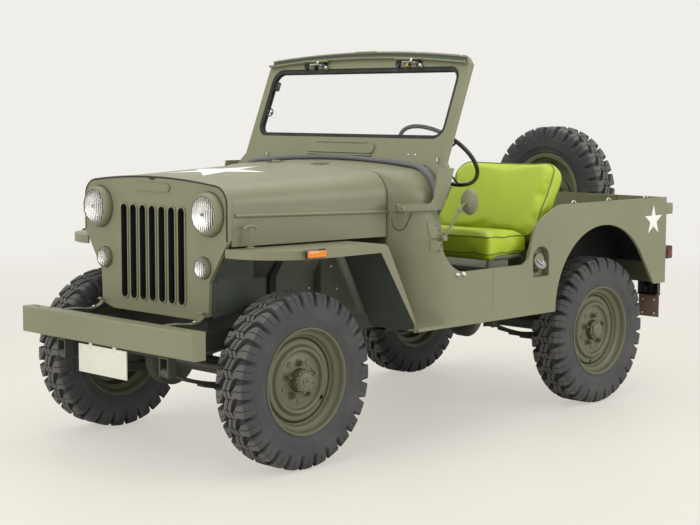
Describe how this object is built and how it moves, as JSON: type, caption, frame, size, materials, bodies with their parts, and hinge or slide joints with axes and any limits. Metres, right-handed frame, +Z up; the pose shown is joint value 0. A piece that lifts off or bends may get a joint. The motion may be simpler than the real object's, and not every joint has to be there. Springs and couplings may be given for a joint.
{
  "type": "light army 4x4 car",
  "caption": "Open light army 4x4 car in olive drab with a folding windshield, slotted grille, lime seats and a rear-mounted spare wheel",
  "frame": {"origin": "on the floor, below the middle of the car's box, on its symmetry plane", "axes": "+X forward along the car, +Y to its left, +Z up"},
  "size_m": [3.244, 1.651, 1.7403],
  "materials": {
    "olive_paint": "satin",
    "chassis_paint": "satin",
    "tyre_rubber": "matte",
    "black_rubber": "matte",
    "lime_vinyl": "satin",
    "clear_glass": "gloss",
    "lamp_glass": "gloss",
    "amber_lens": "gloss",
    "lamp_paint": "satin",
    "cast_metal": "matte",
    "white_paint": "satin",
    "black_plastic": "gloss"
  },
  "bodies": {
    "body": {"body_fittings": "olive_paint", "cowl": "olive_paint", "exhaust": "chassis_paint", "fender_left": "olive_paint", "fender_right": "olive_paint", "frame_crossmembers": "chassis_paint", "frame_rails": "chassis_paint", "front_axle": "chassis_paint", "front_bumper": "olive_paint", "fuel_filler": "olive_paint", "fuel_tank": "chassis_paint", "grille_panel": "olive_paint", "lamp_housings": "olive_paint", "lamp_lenses": "lamp_glass", "leaf_springs": "chassis_paint", "levers": "chassis_paint", "marker_lamps": "amber_lens", "mirror": "olive_paint", "number_plate": "white_paint", "pedals": "chassis_paint", "powertrain": "cast_metal", "propshafts": "chassis_paint", "radiator": "chassis_paint", "rear_axle": "chassis_paint", "rear_corners": "olive_paint", "rear_plate": "chassis_paint", "seat_backs": "lime_vinyl", "seat_cushions": "lime_vinyl", "seat_frames": "chassis_paint", "shock_absorbers": "chassis_paint", "steering_column": "chassis_paint", "tail_lamps": "lamp_paint", "tub_floor": "olive_paint", "tub_side_left": "olive_paint", "tub_side_right": "olive_paint", "wheel_houses": "olive_paint", "windshield_foot_seal": "black_rubber"},
    "knuckle_left": {"knuckle_left": "chassis_paint"},
    "knuckle_right": {"knuckle_right": "chassis_paint"},
    "tie_rod": {"tie_rod": "chassis_paint"},
    "steering_wheel": {"steering_wheel": "black_plastic"},
    "hood": {"hood": "olive_paint"},
    "windshield": {"windshield_frame": "olive_paint", "windshield_glass": "clear_glass", "windshield_seal": "black_rubber", "wipers": "olive_paint"},
    "tailgate": {"tailgate": "olive_paint", "spare_wheel": "olive_paint", "spare_tyre": "tyre_rubber", "spare_carrier": "olive_paint"},
    "wheel_front_left": {"wheel_front_left": "olive_paint", "tyre_front_left": "tyre_rubber"},
    "wheel_front_right": {"wheel_front_right": "olive_paint", "tyre_front_right": "tyre_rubber"},
    "wheel_rear_left": {"wheel_rear_left": "olive_paint", "tyre_rear_left": "tyre_rubber"},
    "wheel_rear_right": {"wheel_rear_right": "olive_paint", "tyre_rear_right": "tyre_rubber"}
  },
  "joints": [
    {"name": "steer_left", "type": "hinge", "parent": "body", "child": "knuckle_left", "pos_m": [1.111, 0.504, 0.366], "axis": [0, 0, 1], "range_deg": [-26, 26]},
    {"name": "steer_right", "type": "hinge", "parent": "body", "child": "knuckle_right", "pos_m": [1.111, -0.504, 0.366], "axis": [0, 0, 1], "range_deg": [-26, 26]},
    {"name": "tie_rod_end", "type": "hinge", "parent": "knuckle_left", "child": "tie_rod", "pos_m": [1.301, 0.504, 0.406], "axis": [0, 0, 1], "range_deg": [-26, 26]},
    {"name": "steering_wheel_turn", "type": "hinge", "parent": "body", "child": "steering_wheel", "pos_m": [-0.039, 0.382, 1.249], "axis": [-0.6884, 0, 0.7254], "range_deg": [-390, 390]},
    {"name": "hood_hinge", "type": "hinge", "parent": "body", "child": "hood", "pos_m": [0.501, 0, 1.225], "axis": [0, -1, 0], "range_deg": [0, 95]},
    {"name": "windshield_fold", "type": "hinge", "parent": "body", "child": "windshield", "pos_m": [0.511, 0, 1.045], "axis": [0, -1, 0], "range_deg": [-106, 0]},
    {"name": "tailgate_hinge", "type": "hinge", "parent": "body", "child": "tailgate", "pos_m": [-1.417, 0, 0.6], "axis": [0, -1, 0], "range_deg": [0, 90]},
    {"name": "spin_front_left", "type": "hinge", "parent": "knuckle_left", "child": "wheel_front_left", "pos_m": [1.111, 0.616, 0.366], "axis": [0, 1, 0], "continuous": true},
    {"name": "spin_front_right", "type": "hinge", "parent": "knuckle_right", "child": "wheel_front_right", "pos_m": [1.111, -0.616, 0.366], "axis": [0, 1, 0], "continuous": true},
    {"name": "spin_rear_left", "type": "hinge", "parent": "body", "child": "wheel_rear_left", "pos_m": [-0.921, 0.616, 0.366], "axis": [0, 1, 0], "continuous": true},
    {"name": "spin_rear_right", "type": "hinge", "parent": "body", "child": "wheel_rear_right", "pos_m": [-0.921, -0.616, 0.366], "axis": [0, 1, 0], "continuous": true}
  ],
  "couplings": [
    {"joint": "steer_right", "follows": "steer_left", "ratio": 1},
    {"joint": "tie_rod_end", "follows": "steer_left", "ratio": -1},
    {"joint": "steering_wheel_turn", "follows": "steer_left", "ratio": 14}
  ]
}
